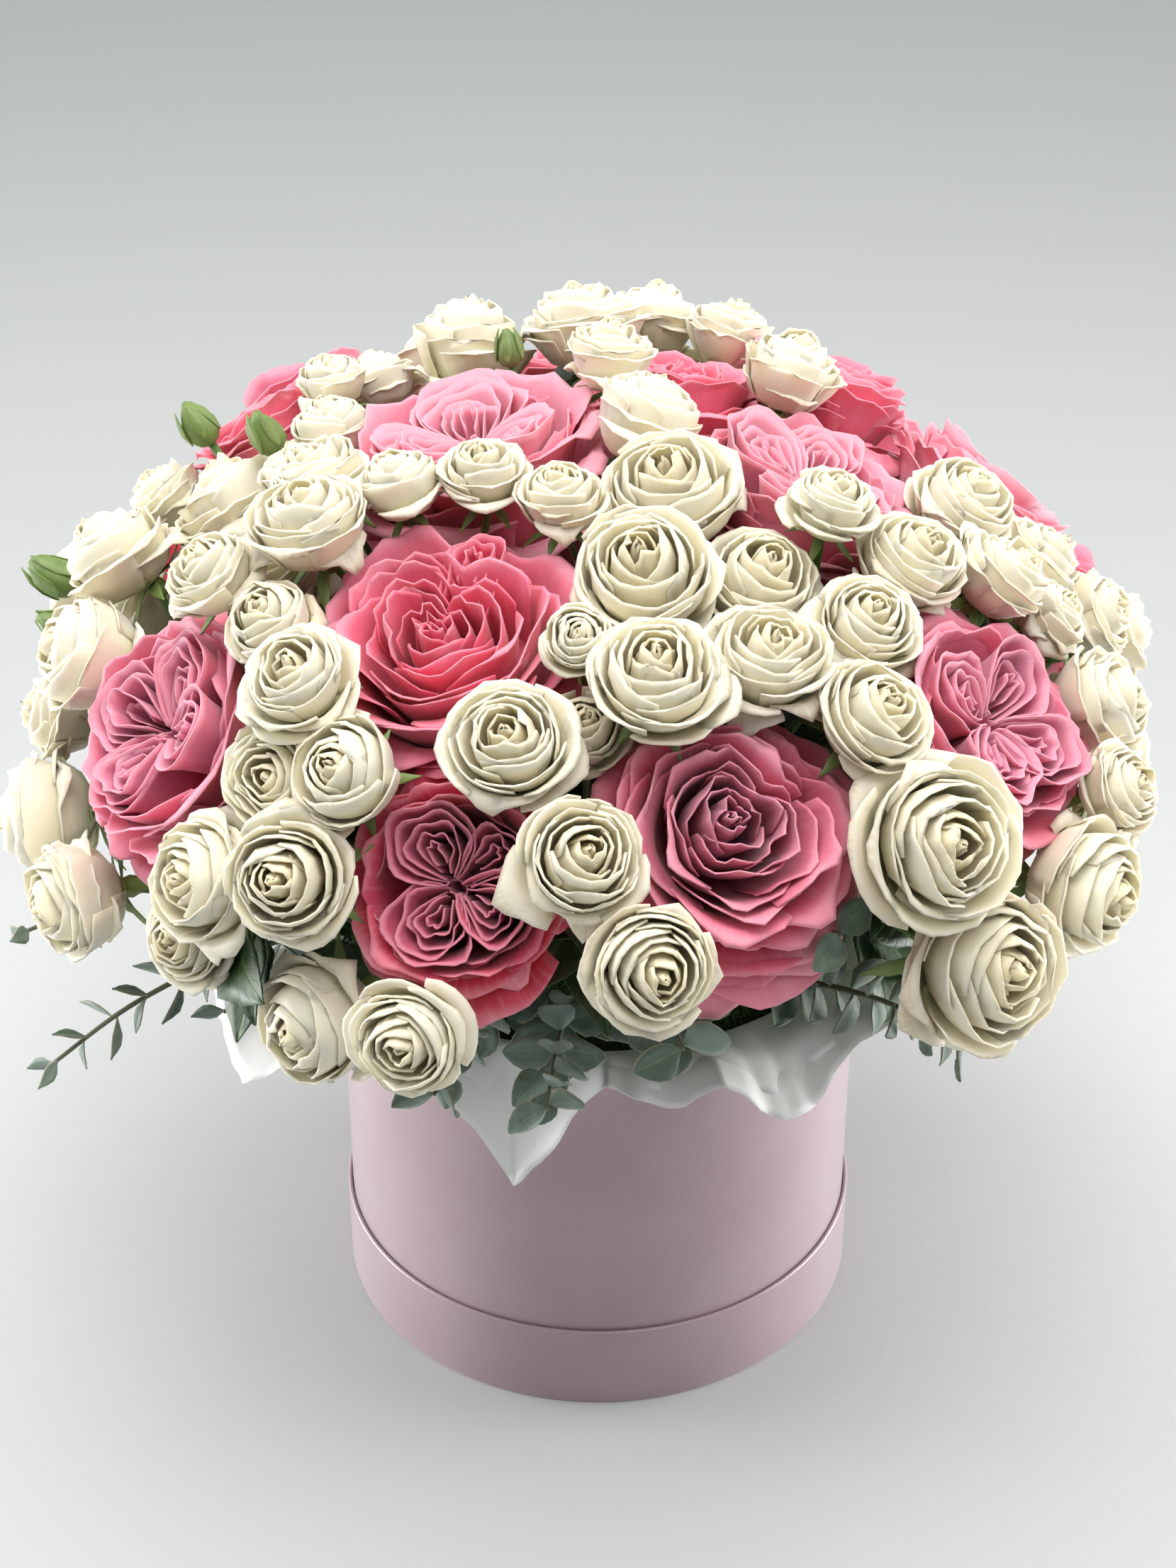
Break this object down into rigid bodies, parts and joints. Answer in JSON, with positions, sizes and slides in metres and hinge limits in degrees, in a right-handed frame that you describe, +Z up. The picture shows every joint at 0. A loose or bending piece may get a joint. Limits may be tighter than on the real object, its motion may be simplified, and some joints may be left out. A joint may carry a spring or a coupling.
{
  "type": "flower hat box",
  "caption": "Round card hat box standing in its lid, filled with foam that holds a dome of pink garden roses, white spray roses and eucalyptus over a collar of tissue.",
  "frame": {"origin": "middle of the underside of the lid that the box stands in", "axes": "+Z up, the front of the box, with the long tongue of tissue, faces -Y, +X to the viewer's right"},
  "size_m": [0.5109, 0.5238, 0.4755],
  "materials": {
    "pink_card": "pearly, fine satin grain",
    "clear_film": "clear waterproof film",
    "green_foam": "matt crumbly foam",
    "white_tissue": "thin translucent non-woven tissue",
    "pink_rose": "soft petals, coral pink outside and mauve in the middle",
    "white_rose": "soft petals, cream white",
    "greenery": "grey green eucalyptus leaves with a waxy bloom, dark rose leaves and green stems"
  },
  "bodies": {
    "root": {"box_lid": "pink_card", "box_body": "pink_card", "foam_film": "clear_film", "floral_foam": "green_foam", "tissue_paper": "white_tissue", "pink_rose_back_left_high": "pink_rose", "pink_rose_back_middle_high": "pink_rose", "pink_rose_back_right": "pink_rose", "pink_rose_back_right_high": "pink_rose", "pink_rose_front_low_left": "pink_rose", "pink_rose_front_low_right": "pink_rose", "pink_rose_front_middle": "pink_rose", "pink_rose_left": "pink_rose", "pink_rose_left_far": "pink_rose", "pink_rose_left_shoulder": "pink_rose", "pink_rose_rear_a": "pink_rose", "pink_rose_rear_b": "pink_rose", "pink_rose_rear_c": "pink_rose", "pink_rose_rear_d": "pink_rose", "pink_rose_rear_e": "pink_rose", "pink_rose_rear_f": "pink_rose", "pink_rose_rear_g": "pink_rose", "pink_rose_right": "pink_rose", "pink_rose_top_left": "pink_rose", "pink_rose_top_right": "pink_rose", "white_spray_crown": "white_rose", "white_spray_front": "white_rose", "white_spray_front_low": "white_rose", "white_spray_left_crown": "white_rose", "white_spray_left_edge": "white_rose", "white_spray_left_far": "white_rose", "white_spray_left_low": "white_rose", "white_spray_left_middle": "white_rose", "white_spray_left_shoulder": "white_rose", "white_spray_left_top": "white_rose", "white_spray_rear_a": "white_rose", "white_spray_rear_b": "white_rose", "white_spray_rear_c": "white_rose", "white_spray_rear_d": "white_rose", "white_spray_rear_e": "white_rose", "white_spray_rear_f": "white_rose", "white_spray_right": "white_rose", "white_spray_right_crown": "white_rose", "white_spray_right_low": "white_rose", "white_spray_right_top": "white_rose", "white_spray_top": "white_rose", "white_spray_top_back": "white_rose", "white_spray_top_back_right": "white_rose", "eucalyptus_front": "greenery", "eucalyptus_front_left": "greenery", "eucalyptus_front_right": "greenery", "eucalyptus_left": "greenery", "eucalyptus_left_long": "greenery", "eucalyptus_left_low": "greenery", "eucalyptus_rear_a": "greenery", "eucalyptus_rear_b": "greenery", "eucalyptus_rear_c": "greenery", "eucalyptus_right": "greenery", "eucalyptus_right_high": "greenery"}
  },
  "joints": []
}
